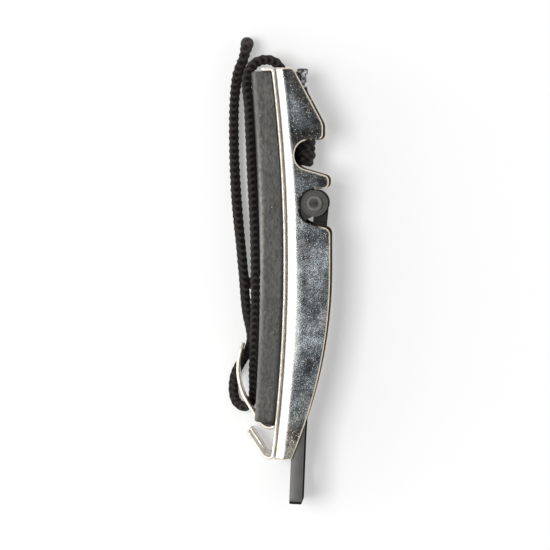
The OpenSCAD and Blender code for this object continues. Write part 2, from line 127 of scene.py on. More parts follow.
class WinderSizes(bpy.types.PropertyGroup):
    """Sizes of the sheet metal's edges and of the cord's knit."""

    sheet: bpy.props.FloatProperty(
        name="Sheet", description="Thickness of the pressed sheet", default=0.001, unit="LENGTH")
    fold: bpy.props.FloatProperty(
        name="Fold", description="Outside radius of the folds", default=0.0026, unit="LENGTH")
    edge: bpy.props.FloatProperty(
        name="Edge", description="Rounding of the tumbled sheet edges", default=0.0003, unit="LENGTH")
    cord: bpy.props.FloatProperty(
        name="Cord", description="Diameter of the lanyard cord", default=0.0026, unit="LENGTH")
    stitch: bpy.props.FloatProperty(
        name="Stitch", description="Length of one knitted stitch", default=0.0018, unit="LENGTH")


class WinderColours(bpy.types.PropertyGroup):
    """Colours of the finishes."""

    nickel: bpy.props.FloatVectorProperty(
        name="Nickel", description="Plated sheet", subtype="COLOR", size=3, default=(0.145, 0.15, 0.152))
    rim: bpy.props.FloatVectorProperty(
        name="Rim", description="Tumbled edges of the sheet", subtype="COLOR", size=3,
        default=(0.86, 0.79, 0.67))
    spring: bpy.props.FloatVectorProperty(
        name="Spring", description="Clip strip", subtype="COLOR", size=3, default=(0.86, 0.79, 0.67))
    grip: bpy.props.FloatVectorProperty(
        name="Grip", description="Rubber pad", subtype="COLOR", size=3, default=(0.081, 0.079, 0.073))
    arm: bpy.props.FloatVectorProperty(
        name="Arm", description="Moulded winder arm", subtype="COLOR", size=3, default=(0.088, 0.086, 0.082))
    cord: bpy.props.FloatVectorProperty(
        name="Cord", description="Knitted cord", subtype="COLOR", size=3, default=(0.0125, 0.0106, 0.0098))
    seal: bpy.props.FloatVectorProperty(
        name="Sealed end", description="Melted cord end", subtype="COLOR", size=3, default=(0.58, 0.57, 0.61))
    floor: bpy.props.FloatVectorProperty(
        name="Floor", description="Table", subtype="COLOR", size=3, default=(0.96, 0.96, 0.96))


# lines and outlines


def turned(v, degrees):
    """A plane vector, or rows of them, turned anticlockwise."""
    a = np.radians(degrees)
    x, y = v[..., 0], v[..., 1]
    return np.stack([x * np.cos(a) - y * np.sin(a), x * np.sin(a) + y * np.cos(a)], -1)


def bow_x(y, crest=SPINE_X, radius=BOW_R, middle=BOW_Y):
    """x on a circle through the crest at the bow's middle, as the spine's outer face has it."""
    return crest - radius * (1 - np.sqrt(1 - ((y - middle) / radius) ** 2))


def outline(corners):
    """A closed outline through corners (x, y, radius), each corner a circle tangent to its two edges."""
    c = np.array(corners, float)
    q, r = c[:, :2], c[:, 2]
    e = np.roll(q, 1, 0) - q
    f = np.roll(q, -1, 0) - q
    e /= np.linalg.norm(e, axis=1)[:, None]
    f /= np.linalg.norm(f, axis=1)[:, None]
    half = np.degrees(np.arccos(np.clip((e * f).sum(1), -1, 1))) / 2
    side = np.sign(e[:, 1] * f[:, 0] - e[:, 0] * f[:, 1])
    middle = e + f
    centre = q + (r / np.sin(np.radians(half)))[:, None] * middle / np.linalg.norm(middle, axis=1)[:, None]
    start = q + (r / np.tan(np.radians(half)))[:, None] * e - centre
    t = np.linspace(0, 1, CORNER_POINTS)
    sweep = (side * (180 - 2 * half))[:, None] * t[None]
    return (centre[:, None] + turned(np.repeat(start[:, None], len(t), 1), sweep)).reshape(-1, 2)


def spaced(points, step, closed=True):
    """The same line with points at even distances along it."""
    p = np.vstack([points, points[:1]]) if closed else np.asarray(points, float)
    d = np.r_[0, np.cumsum(np.linalg.norm(np.diff(p, axis=0), axis=1))]
    n = max(8, int(d[-1] / step))
    s = np.linspace(0, d[-1], n + 1)[: n if closed else n + 1]
    return np.stack([np.interp(s, d, p[:, k]) for k in range(p.shape[1])], 1)


def rounded(u0, u1, v0, v1, near, far, step):
    """A rectangle whose corners have one radius at u0 and another at u1."""
    return spaced(outline([(u0, v0, near), (u1, v0, far), (u1, v1, far), (u0, v1, near)]), step)


def inward(loop):
    """Unit normals to the left of a loop, which is inside an anticlockwise one."""
    t = np.roll(loop, -1, 0) - np.roll(loop, 1, 0)
    t /= np.linalg.norm(t, axis=1)[:, None]
    return np.stack([-t[:, 1], t[:, 0]], 1)


def inside(points, loop):
    """Which points lie inside a loop, by counting the edges that a ray to the right crosses."""
    a, b = loop, np.roll(loop, -1, 0)
    x, y = points[:, :1], points[:, 1:]
    spans = (a[:, 1] > y) != (b[:, 1] > y)
    rise = np.where(b[:, 1] == a[:, 1], 1e-12, b[:, 1] - a[:, 1])
    return (spans & (x < a[:, 0] + (y - a[:, 1]) * (b[:, 0] - a[:, 0]) / rise)).sum(1) % 2 == 1


def within(points, loops):
    """Which points lie inside the first loop and outside the others."""
    ok = inside(points, loops[0])
    for hole in loops[1:]:
        ok &= ~inside(points, hole)
    return ok


def lattice(us, vs):
    """Every pair of the two lists, as points."""
    u, v = np.meshgrid(us, vs)
    return np.column_stack([u.ravel(), v.ravel()])


def path_length(path):
    """Length of a path of lines [length] and arcs [radius, turn]."""
    return sum(q[0] if len(q) == 1 else q[0] * math.radians(abs(q[1])) for q in path)


def along(path, start, heading, s):
    """Points and headings at distances s along lines [length] and arcs [radius, turn], left turns positive.

    A line goes straight along its heading, and an arc goes round a centre that stands square to it.
    """
    p, h, done = np.array(start, float), float(heading), 0.0
    points = np.zeros(s.shape + (2,))
    head = np.zeros(s.shape)
    up = np.array([0.0, 1.0])
    for part in path:
        d = s - done
        here = d >= -1e-9
        if len(part) == 1:
            step = turned(np.array([1.0, 0.0]), h)
            points[here] = p + d[here, None] * step
            head[here] = h
            p = p + part[0] * step
        else:
            r, a = part
            side = math.copysign(1, a)
            swing = side * np.degrees(d[here] / r)
            points[here] = p + side * r * (turned(up, h) - turned(np.tile(up, (here.sum(), 1)), h + swing))
            head[here] = h + swing
            p = p + side * r * (turned(up, h) - turned(up, h + a))
            h += a
        done += path_length([part])
    return points, head


def strip_lay(path, start, heading, thick):
    """Lays a blank along a path: u runs along it, v is z, and the height stands to the path's right."""

    def lay(u, v, height):
        p, h = along(path, start, heading, u)
        right = turned(np.tile([0.0, -1.0], (len(u), 1)), h)
        return np.column_stack([p + (height - thick / 2)[:, None] * right, v])

    return lay


def smooth_way(points):
    """A centripetal spline through points, then even spacing along it."""
    p = np.array(points, float)
    a = np.vstack([2 * p[0] - p[1], p[:-2]])
    b, c = p[:-1], p[1:]
    d = np.vstack([p[2:], 2 * p[-1] - p[-2]])
    t1, t2, t3 = (np.sqrt(np.linalg.norm(v, axis=1))[:, None] for v in (b - a, c - b, d - c))
    m1 = t2 * ((b - a) / t1 - (c - a) / (t1 + t2) + (c - b) / t2)
    m2 = t2 * ((c - b) / t2 - (d - b) / (t2 + t3) + (d - c) / t3)
    t = np.linspace(0, 1, SPAN_POINTS, endpoint=False)[None, :, None]
    b, c, m1, m2 = b[:, None], c[:, None], m1[:, None], m2[:, None]
    line = (
        (2 * t**3 - 3 * t**2 + 1) * b + (t**3 - 2 * t**2 + t) * m1
        + (3 * t**2 - 2 * t**3) * c + (t**3 - t**2) * m2)
    return spaced(np.vstack([line.reshape(-1, 3), p[-1:]]), KNIT_STEP, closed=False)


# solids


def face_triangles(loops, extra):
    """Anticlockwise Delaunay triangles of the loops' points and the extra points, within the loops."""
    edges, start = [], 0
    for loop in loops:
        i = np.arange(len(loop))
        edges.append(np.stack([start + i, start + (i + 1) % len(loop)], 1))
        start += len(loop)
    cloud = np.vstack([*loops, extra])
    done = delaunay_2d_cdt([Vector(p) for p in cloud], np.vstack(edges).tolist(), [], 1, 1e-7, True)
    first = np.array([o[0] if o else -1 for o in done[3]])
    tris = first[np.array([f for f in done[2] if len(f) == 3])]
    tris = tris[(tris >= 0).all(1)]
    tris = tris[within(cloud[tris].mean(1), loops)]
    a, b, c = cloud[tris[:, 0]], cloud[tris[:, 1]], cloud[tris[:, 2]]
    turn = (b - a)[:, 0] * (c - a)[:, 1] - (b - a)[:, 1] * (c - a)[:, 0]
    tris[turn < 0] = tris[turn < 0][:, ::-1]
    return tris


def sheet_solid(loops, extra, thick, edge, lay):
    """A flat blank with rounded edges, laid into space by lay(u, v, height).

    A quarter circle of the edge's radius is carried round every loop on both faces, and each face is a
    triangulation of the loops' inset points and the extra points. The first loop is the outside,
    anticlockwise, and the others are holes, clockwise. Returned are points, faces, each face's kind (0 upper,
    1 edge, 2 lower), the points on the blank, and their crown: 1 in the middle of the edge, 0 where it meets
    a face, and on the face less than 0 by the distance from there.
    """
    # the first and the last ring lie on the faces, a little further in than the rounding
    phi = np.linspace(0, math.pi / 2, 5)
    inset = np.r_[1.5 * edge, edge * (1 - np.sin(phi))]
    height = np.r_[thick, thick - edge * (1 - np.cos(phi))]
    inset = np.r_[inset, inset[::-1]]
    height = np.r_[height, thick - height[::-1]]
    rings = len(inset)
    verts, quads, base, upper, lower, flat = [], [], 0, [], [], []
    for loop in loops:
        n = len(loop)
        ring = loop[None] + inset[:, None, None] * inward(loop)[None]
        verts.append(np.dstack([ring, np.repeat(height[:, None], n, 1)]).reshape(-1, 3))
        k, i = np.meshgrid(np.arange(rings - 1), np.arange(n), indexing="ij")
        j, m = (i + 1) % n, k + 1
        quads.append((base + np.stack([k * n + i, m * n + i, m * n + j, k * n + j], -1)).reshape(-1, 4))
        upper.append(base + np.arange(n))
        lower.append(base + np.arange(n) + (rings - 1) * n)
        flat.append(ring[0])
        base += rings * n
    # extra points that crowd the edge are left out
    crowd = 0.25
    gap = np.linalg.norm(extra[:, None] - np.vstack(flat)[None], axis=2).min(1)
    keep = within(extra, flat) & (gap > crowd)
    extra, gap = extra[keep], gap[keep]
    tris = face_triangles(flat, extra)
    m = len(extra)
    top = np.r_[np.concatenate(upper), base + np.arange(m)]
    low = np.r_[np.concatenate(lower), base + m + np.arange(m)]
    verts.append(np.column_stack([extra, np.full(m, thick)]))
    verts.append(np.column_stack([extra, np.zeros(m)]))
    v, q = np.vstack(verts), np.vstack(quads)
    faces = q.tolist() + top[tris].tolist() + low[tris][:, ::-1].tolist()
    kind = np.r_[np.ones(len(q), int), np.zeros(len(tris), int), np.full(len(tris), 2)]
    ring = np.arange(rings)
    crown = np.minimum(ring, rings - 1 - ring) / (rings // 2 - 1)
    crown = np.concatenate([np.repeat(crown, len(loop)) for loop in loops] + [-gap, -gap])
    return lay(v[:, 0], v[:, 1], v[:, 2]), faces, kind, v, crown


def ring_faces(rings, around, bored=False):
    """Quads between rings of points, and a cap at each end.

    In a bored solid the last ring joins the first instead, which makes the bore.
    """
    k, i = np.meshgrid(np.arange(rings if bored else rings - 1), np.arange(around), indexing="ij")
    j, m = (i + 1) % around, (k + 1) % rings
    quads = np.stack([k * around + i, k * around + j, m * around + j, m * around + i], -1)
    quads = quads.reshape(-1, 4).tolist()
    caps = [list(range(around))[::-1], list(range((rings - 1) * around, rings * around))]
    return quads if bored else quads + caps


def revolve(profile, sides, bored=False):
    """A profile (radius, height) turned about the height's axis, with its ends capped or joined as a bore."""
    p = np.array(profile, float)
    a = np.linspace(0, 2 * math.pi, sides, endpoint=False)
    v = np.stack([p[:, :1] * np.cos(a), p[:, :1] * np.sin(a), np.repeat(p[:, 1:], sides, 1)], -1)
    return v.reshape(-1, 3), ring_faces(len(p), sides, bored)


def prism(corners, low, high):
    """A plane outline carried straight up from one height to another."""
    n = len(corners)
    v = np.vstack([np.column_stack([corners, np.full(n, z)]) for z in (low, high)])
    return v, ring_faces(2, n)


def knit_tube(way, radius, stitch, columns=4):
    """A chain-knit cord along a way, with the height of its knit at each point, from 0 to 1.

    Round the cord there are columns of stitches, which wander round it as a slow sine. Each stitch has a hole
    in the middle of its column, a cosine along the cord times a bell across the column, and between the holes
    run the legs of the loops, a cosine of the distance along less the distance from the column's middle, so
    that they stand as Vs. Where the cord lies on the table it is flattened.
    """
    wander, wave, bell, sharp, lean, depth = 0.22, 31, 0.55, 1.2, 0.4, 1.1
    valley, relief, table = 0.92, 0.16, 0.03
    t = np.gradient(way, axis=0)
    t /= np.linalg.norm(t, axis=1)[:, None]
    # the side direction is carried along the way without twist
    side = np.zeros_like(t)
    s = np.cross(t[0], [0, 0, 1.0])
    for i in range(len(way)):
        s = s - (s @ t[i]) * t[i]
        s = s / np.linalg.norm(s)
        side[i] = s
    other = np.cross(t, side)
    d = np.r_[0, np.cumsum(np.linalg.norm(np.diff(way, axis=0), axis=1))]
    a = np.linspace(0, 2 * math.pi, KNIT_SIDES, endpoint=False)
    column = columns * a / (2 * math.pi) + 0.5
    across = np.abs(2 * ((column[None] + wander * np.sin(d / wave)[:, None]) % 1.0) - 1)
    row = d[:, None] / stitch + 0.5 * (np.floor(column) % 2)[None]
    hole = np.exp(-((across / bell) ** 2)) * (0.5 + 0.5 * np.cos(2 * math.pi * row)) ** sharp
    leg = 0.5 + 0.5 * np.cos(2 * math.pi * (row - 0.5 - lean * across))
    ridge = np.clip(0.5 + 0.5 * leg - depth * hole, 0, 1)
    r = np.reshape(radius, (-1, 1)) * (valley + relief * ridge)
    v = way[:, None] + r[..., None] * (
        np.cos(a)[None, :, None] * side[:, None] + np.sin(a)[None, :, None] * other[:, None])
    v = v.reshape(-1, 3)
    v[:, 2] = np.maximum(v[:, 2], table)
    return v, ring_faces(len(way), KNIT_SIDES), ridge.reshape(-1)


def joined(*solids):
    """Several closed solids as one list of points and faces."""
    verts, faces, base = [], [], 0
    for v, f in solids:
        verts.append(v)
        faces += [[i + base for i in face] for face in f]
        base += len(v)
    return np.vstack(verts), faces


def put(name, xyz, faces, materials, body, index=None, marks=None, angle=35):
    """A finished piece at the origin, in metres, with smooth faces, materials and marks at its points."""
    mesh = bpy.data.meshes.new(name)
    mesh.from_pydata((np.asarray(xyz) * MM).tolist(), [], faces)
    for m in materials:
        mesh.materials.append(m)
    if index is not None:
        mesh.polygons.foreach_set("material_index", np.asarray(index, dtype=np.int32))
    for key, values in (marks or {}).items():
        mark = mesh.attributes.new(key, "FLOAT", "POINT")
        mark.data.foreach_set("value", np.asarray(values, dtype=np.float32))
    mesh.polygons.foreach_set("use_smooth", np.ones(len(mesh.polygons), dtype=bool))
    mesh.set_sharp_from_angle(angle=math.radians(angle))
    mesh.update()
    obj = bpy.data.objects.new(name, mesh)
    bpy.context.scene.collection.objects.link(obj)
    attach(obj, body)
    return obj


def put_cords(name, cords, material, mark, angle=KNIT_SMOOTH, **marks):
    """One piece of cord from several solids, each with the values of a mark at its points."""
    v, f = joined(*[c[:2] for c in cords])
    marks = {mark: np.concatenate([c[2] for c in cords]), **marks}
    return put(name, v, f, [material], "tool", marks=marks, angle=angle)


# finishes


class Nodes:
    """A node tree with short ways to add, set and link its nodes."""

    def __init__(self, tree):
        self.tree = tree

    def feed(self, socket, value):
        """Links a socket to another node's output, or sets its number, vector or colour."""
        if isinstance(value, bpy.types.NodeSocket):
            self.tree.links.new(value, socket)
        else:
            socket.default_value = (*value, 1.0) if socket.type == "RGBA" else value

    def add(self, kind, inputs=None, **settings):
        """A new node with its settings, and with its inputs fed."""
        node = self.tree.nodes.new(kind)
        for key, value in settings.items():
            setattr(node, key, value)
        for key, value in (inputs or {}).items():
            self.feed(node.inputs[key], value)
        return node

    def ramp(self, value, stops):
        """Maps a value to greys or colours at the given places."""
        node = self.add("ShaderNodeValToRGB", {"Fac": value})
        e = node.color_ramp.elements
        while len(e) < len(stops):
            e.new(0.5)
        for item, (at, colour) in zip(e, stops):
            item.position = at
            colour = (colour,) * 3 if isinstance(colour, (int, float)) else colour
            item.color = (*colour, 1.0)
        return node.outputs["Color"]


class Finish(Nodes):
    """A node material that reads Object coordinates."""

    def __init__(self, name):
        self.mat = bpy.data.materials.new(name)
        self.mat.use_nodes = True
        super().__init__(self.mat.node_tree)
        self.bsdf = self.tree.nodes["Principled BSDF"]
        self.place = self.add("ShaderNodeTexCoord").outputs["Object"]

    def drawn(self, share):
        """Object coordinates with a share of their y, which draws a pattern out along the tool."""
        inputs = {"Vector": self.place, "Scale": (1.0, share, 1.0)}
        return self.add("ShaderNodeMapping", inputs).outputs["Vector"]

    def noise(self, scale, detail=4.0, vector=None, rough=0.55):
        """Cloudy noise, at Object coordinates or at others."""
        inputs = {"Vector": vector or self.place, "Scale": scale, "Detail": detail, "Roughness": rough}
        return self.add("ShaderNodeTexNoise", inputs).outputs["Fac"]

    def specks(self, scale):
        """Distance from scattered points."""
        return self.add("ShaderNodeTexVoronoi", {"Vector": self.place, "Scale": scale}).outputs["Distance"]

    def span(self, value, low, high):
        """A value as its share of the way from low to high, held between 0 and 1."""
        inputs = {"Value": value, "From Min": low, "From Max": high}
        return self.add("ShaderNodeMapRange", inputs).outputs["Result"]

    def axis(self, name, low, high):
        """The share of the way from low to high along one object axis."""
        parts = self.add("ShaderNodeSeparateXYZ", {"Vector": self.place}).outputs
        return self.span(parts[name], low * MM, high * MM)

    def mark(self, name):
        """A value that the piece carries at its points."""
        return self.add("ShaderNodeAttribute", attribute_name=name).outputs["Fac"]

    def math(self, how, a, b):
        """Two values reckoned together."""
        return self.add("ShaderNodeMath", {0: a, 1: b}, operation=how).outputs[0]

    def mix(self, how, factor, a, b):
        """Two colours mixed by a factor."""
        return self.add("ShaderNodeMix", {0: factor, 6: a, 7: b}, data_type="RGBA", blend_type=how).outputs[2]

    def times(self, a, b):
        """One colour times another."""
        return self.mix("MULTIPLY", 1.0, a, b)

    def part(self, value, most):
        """A value from 0 to 1 brought down to 0 to most."""
        return self.ramp(value, [(0.0, 0.0), (1.0, most)])

    def bump(self, height, strength, distance):
        """Raises the surface's shading by a height."""
        node = self.add("ShaderNodeBump", {"Height": height, "Strength": strength, "Distance": distance})
        self.feed(self.bsdf.inputs["Normal"], node.outputs["Normal"])

    def set(self, **values):
        """Feeds the surface's inputs, and gives the material."""
        for key, value in values.items():
            self.feed(self.bsdf.inputs[key.replace("_", " ")], value)
        return self.mat


def tint(colour, k):
    """A colour made lighter or darker."""
    return tuple(min(1.0, c * k) for c in colour)


def fold_wear_and_highlight(f, strip, colour, tone, rough, nicks):
    """The channel's wear and its painted fold highlight, by y and by its reach, which is the distance from
    the middle of its blank.

    As far as the strip, the fold is painted bright as a highlight, and the strip frays into the frosting over
    a painted dark band.
    It thins out more slowly in the lower half and ends cleanly at the upper lobe. The lobe is darker, with a
    dark margin at its edge and pale nicks, and the lower end is rubbed warm.
    """
    lobe = f.axis("Y", 15, 36)
    low = f.ramp(f.axis("Y", 10, -40), [(0.08, 0.0), (0.4, 1.0), (0.68, 0.9), (0.95, 0.0)])
    tone = f.times(tone, f.ramp(lobe, [(0.0, 1.0), (1.0, 0.5)]))
    tone = f.mix("MULTIPLY", f.axis("Y", -36, -50), tone, (1.45, 1.34, 1.08))
    haze = f.ramp(f.noise(3600, 4, rough=0.7), [(0.28, 0.0), (0.72, 1.8)])
    reach = f.math("ADD", f.mix("MIX", f.part(lobe, 0.75), haze, WHITE), f.mark("reach"))
    # painted dark band just past the highlight's edge, where the fold's reflection turns dark
    line = f.span(reach, strip - 0.3, strip + 1.9)
    painted_dark_band = f.ramp(line, [(0.0, 1.0), (0.5, 0.25), (0.8, 0.4), (1.0, 1.0)])
    painted_dark_band = f.mix("MIX", f.part(low, 0.75), painted_dark_band, WHITE)
    painted_dark_band = f.mix("MIX", f.part(lobe, 0.4), painted_dark_band, WHITE)
    tone = f.times(tone, painted_dark_band)
    margin = f.ramp(f.span(f.mark("crown"), -4.0, 0.0), [(0.0, 0.0), (0.4, 0.8), (0.65, 1.0)])
    margin = f.times(margin, f.ramp(lobe, [(0.0, 0.1), (1.0, 0.9)]))
    tone = f.mix("MULTIPLY", margin, tone, (0.3, 0.26, 0.22))
    tone = f.mix("MIX", f.times(nicks, f.part(lobe, 0.7)), tone, tint(colour, 4.2))
    # painted highlight: near white and rougher as far as the strip, ragged at its edge
    fray = f.span(reach, strip - 0.6, strip + 1.7)
    ragged = f.ramp(fray, [(0.0, 1.0), (0.3, 0.5), (1.0, 0.0)])
    slow = f.span(reach, strip - 0.8, strip + 2.9)
    thin = f.ramp(slow, [(0.0, 1.0), (0.3, 0.66), (0.6, 0.28), (1.0, 0.0)])
    clean = f.ramp(fray, [(0.0, 1.0), (0.36, 0.9), (0.5, 0.0)])
    bright = f.mix("MIX", lobe, f.mix("MIX", low, ragged, thin), clean)
    return f.mix("MIX", bright, tone, (0.93, 0.92, 0.88)), f.mix("MIX", bright, rough, (0.55, 0.55, 0.55))


def nickel_finish(name, colour, strip=None):
    """Pocket-worn mirror plate: clear dark polish under pale frosting, nicks and hairlines.

    With a strip, which is the reach of its painted highlight, it also has the wear and the painted highlight
    of the channel's folds.
    """
    f = Finish(name)
    fine = f.ramp(f.noise(4200, 5, rough=0.7), [(0.34, 0.0), (0.78, 1.0)])
    cloud = f.ramp(f.noise(150, 7, rough=0.72), [(0.36, 0.1), (0.64, 0.85)])
    speck = f.mix("ADD", 0.55, f.specks(2100), f.noise(5200, 3))
    where = f.ramp(f.noise(330, 6, rough=0.65), [(0.42, 0.0), (0.56, 1.0)])
    nicks = f.times(f.ramp(speck, [(0.0, 1.0), (0.4, 1.0), (0.48, 0.0)]), where)
    hair = f.ramp(f.noise(1000, 3, f.drawn(0.1)), [(0.62, 0.0), (0.74, 0.4)])
    frost = f.mix("LIGHTEN", 1.0, f.times(fine, cloud), nicks)
    frost = f.mix("LIGHTEN", 1.0, frost, hair)
    blue = (colour[0] * 0.9, colour[1], colour[2] * 1.06)
    cool = f.ramp(f.noise(110, 3), [(0.38, tint(colour, 0.95)), (0.62, blue)])
    tone = f.mix("MIX", frost, f.times(cool, (0.42,) * 3), f.times(cool, (4.3,) * 3))
    rough = f.ramp(frost, [(0.0, 0.15), (1.0, 0.5)])
    if strip:
        tone, rough = fold_wear_and_highlight(f, strip, colour, tone, rough, nicks)
    f.bump(f.noise(1900, 4), 0.1, 0.0001)
    return f.set(Base_Color=tone, Metallic=1.0, Roughness=rough)


def rim_finish(name, colour, worn=None):
    """Tumbled sheet edge: pale along the crown and browned where it meets the faces.

    It is dulled by worn's levels along the body, and darkened near black as painted shade where the piece
    carries that mark.
    """
    f = Finish(name)
    tone = f.ramp(f.mark("crown"), [(0.02, (0.13, 0.09, 0.06)), (0.2, tint(colour, 0.5)), (0.42, colour)])
    tone = f.times(tone, f.ramp(f.noise(600, 5), [(0.3, 0.78), (0.65, 1.08)]))
    if worn:
        tone = f.times(tone, f.ramp(f.axis("Y", -TOP, TOP), worn))
    # painted shade: patches of near black where the piece carries that mark
    painted_shade_patches = f.times(f.mark("painted_shade"), f.ramp(f.noise(1500, 3), [(0.56, 1.0), (0.64, 0.35)]))
    tone = f.mix("MIX", painted_shade_patches, tone, (0.02, 0.017, 0.014))
    gloss = f.ramp(f.noise(900, 4), [(0.3, 0.28), (0.7, 0.48)])
    f.bump(f.noise(1600, 3), 0.1, 0.0001)
    return f.set(Base_Color=tone, Metallic=0.55, Roughness=gloss)


def bright_finish(name, colour, rough):
    """Plain bright metal with a little uneven polish."""
    f = Finish(name)
    tone = f.ramp(f.noise(220, 4), [(0.3, tint(colour, 0.9)), (0.7, tint(colour, 1.06))])
    gloss = f.ramp(f.noise(500, 4), [(0.3, rough * 0.8), (0.7, rough * 1.3)])
    f.bump(f.noise(900, 3, f.drawn(0.15)), 0.06, 0.0001)
    return f.set(Base_Color=tone, Metallic=0.55, Roughness=gloss)


def rubber_finish(name, colour):
    """Matte moulded rubber: leathery grain drawn out along the pad, cloudy patches, pale streaks and pale
    dust, with a painted highlight along its edge by the cord and painted shade where it carries that mark.
    """
    f = Finish(name)
    tone = f.ramp(f.noise(120, 5), [(0.3, tint(colour, 0.82)), (0.72, tint(colour, 1.2))])
    grain = f.ramp(f.noise(1900, 5, f.drawn(0.4), 0.66), [(0.3, 0.42), (0.7, 1.55)])
    tone = f.times(tone, grain)
    # painted highlight along the pad's edge by the cord
    tone = f.mix("MIX", f.times(f.mark("painted_highlight"), grain), tone, tint(colour, 4.2))
    # painted shade where the pad carries that mark
    tone = f.mix("MIX", f.mark("painted_shade"), tone, tint(colour, 0.08))
    streak = f.ramp(f.noise(800, 3, f.drawn(0.03)), [(0.56, 0.0), (0.72, 0.3)])
    tone = f.mix("MIX", streak, tone, tint(colour, 2.0))
    dust = f.ramp(f.specks(900), [(0.0, 1.0), (0.1, 1.0), (0.15, 0.0)])
    where = f.ramp(f.noise(300, 3), [(0.55, 0.0), (0.62, 0.9)])
    tone = f.mix("MIX", f.times(dust, where), tone, (0.42, 0.41, 0.39))
    f.bump(f.noise(2200, 4), 0.45, 0.0002)
    return f.set(Base_Color=tone, Roughness=0.74, Specular_IOR_Level=0.35)


def plastic_finish(name, colour, rough, metallic=0.0, shine=0.5):
    """Smooth dark moulding, or a blackened steel part, with faint flow and rub marks."""
    f = Finish(name)
    tone = f.ramp(f.noise(180, 4), [(0.3, tint(colour, 0.8)), (0.7, tint(colour, 1.25))])
    gloss = f.ramp(f.noise(420, 4, f.drawn(0.2)), [(0.3, rough * 0.8), (0.7, rough * 1.25)])
    f.bump(f.noise(2000, 2), 0.1, 0.00005)
    return f.set(Base_Color=tone, Metallic=metallic, Roughness=gloss, Specular_IOR_Level=shine)


def turned_finish(name, colour, rough, painted_levels):
    """Blackened steel turned on a lathe: faint rings about the pivot, and painted light and shade levels by
    their radius.
    """
    f = Finish(name)
    centre = (-PIVOT[0] * MM, -PIVOT[1] * MM, 0.0)
    inputs = {"Vector": f.place, "Location": centre, "Scale": (1.0, 1.0, 0.0)}
    flat = f.add("ShaderNodeMapping", inputs).outputs["Vector"]
    waves = {"Vector": flat, "Scale": 300.0, "Distortion": 0.8, "Detail": 2.0}
    rings = f.add("ShaderNodeTexWave", waves, wave_type="RINGS", rings_direction="Z").outputs["Fac"]
    tone = f.ramp(rings, [(0.2, tint(colour, 0.8)), (0.9, tint(colour, 1.25))])
    tone = f.times(tone, f.ramp(f.noise(900, 4), [(0.3, 0.75), (0.7, 1.25)]))
    # the painted levels' ramp ends at this radius
    most = 5
    away = f.add("ShaderNodeVectorMath", {0: flat}, operation="LENGTH").outputs["Value"]
    share = f.math("MULTIPLY", away, 1.0 / (most * MM))
    tone = f.times(tone, f.ramp(share, [(r / most, level) for r, level in painted_levels]))
    f.bump(rings, 0.12, 0.0001)
    return f.set(Base_Color=tone, Metallic=0.1, Roughness=rough, Specular_IOR_Level=0.35)


def cord_finish(name, colour):
    """Knitted yarn: painted shade between the stitches and a painted highlight on their backs, with loose
    fibres where it frays.
    """
    f = Finish(name)
    # the knit's height paints shade into the holes and light onto the loops' backs
    shades = [(0.05, tint(colour, 0.12)), (0.45, tint(colour, 1.0)), (1.0, tint(colour, 3.2))]
    tone = f.ramp(f.mark("ridge"), shades)
    tone = f.times(tone, f.ramp(f.noise(3200, 3), [(0.35, 0.6), (0.7, 1.3)]))
    loose = f.times(f.mark("fray"), f.ramp(f.noise(2400, 4, rough=0.7), [(0.42, 0.0), (0.66, 0.8)]))
    tone = f.mix("MIX", loose, tone, tint(colour, 11.0))
    f.bump(f.noise(4200, 3), 0.5, 0.0001)
    f.set(Sheen_Weight=0.06, Sheen_Roughness=0.5)
    return f.set(Base_Color=tone, Roughness=0.85, Specular_IOR_Level=0.2)


def seal_finish(name, colour):
    """Melted nylon with clouded grey, small pits and a burnt end."""
    f = Finish(name)
    tone = f.ramp(f.noise(1100, 4), [(0.4, tint(colour, 0.08)), (0.58, tint(colour, 1.6))])
    tone = f.mix("MULTIPLY", f.mark("burnt"), tone, (0.1, 0.09, 0.09))
    f.bump(f.noise(1500, 3), 0.6, 0.0003)
    return f.set(Base_Color=tone, Roughness=0.42)


def floor_finish(name, colour):
    """Pale table that keeps the shadow, and is part lit from below as the camera and the metal see it."""
    f = Finish(name)
    tone = f.ramp(f.noise(3, 2), [(0.3, tint(colour, 0.995)), (0.7, tint(colour, 1.0))])
    f.set(Base_Color=tone, Roughness=0.9, Specular_IOR_Level=0.1)
    rays = f.add("ShaderNodeLightPath").outputs
    either = f.math("MAXIMUM", rays["Is Glossy Ray"], rays["Is Transmission Ray"])
    seen = f.math("MAXIMUM", rays["Is Camera Ray"], either)
    glow = f.add("ShaderNodeEmission").outputs[0]
    blend = f.add("ShaderNodeMixShader", {0: f.math("MULTIPLY", seen, 0.34), 1: f.bsdf.outputs[0], 2: glow})
    f.feed(f.tree.nodes["Material Output"].inputs["Surface"], blend.outputs[0])
    return f.mat


# table, light and camera


def lay_table(scene, colour):
    """A wide flat square just under the tool."""
    half, low = 2.0, -0.05 * MM
    mesh = bpy.data.meshes.new("table")
    corners = [(-half, -half, low), (half, -half, low), (half, half, low), (-half, half, low)]
    mesh.from_pydata(corners, [], [(0, 1, 2, 3)])
    mesh.materials.append(floor_finish("table white", colour))
    table = bpy.data.objects.new("table", mesh)
    scene.collection.objects.link(table)


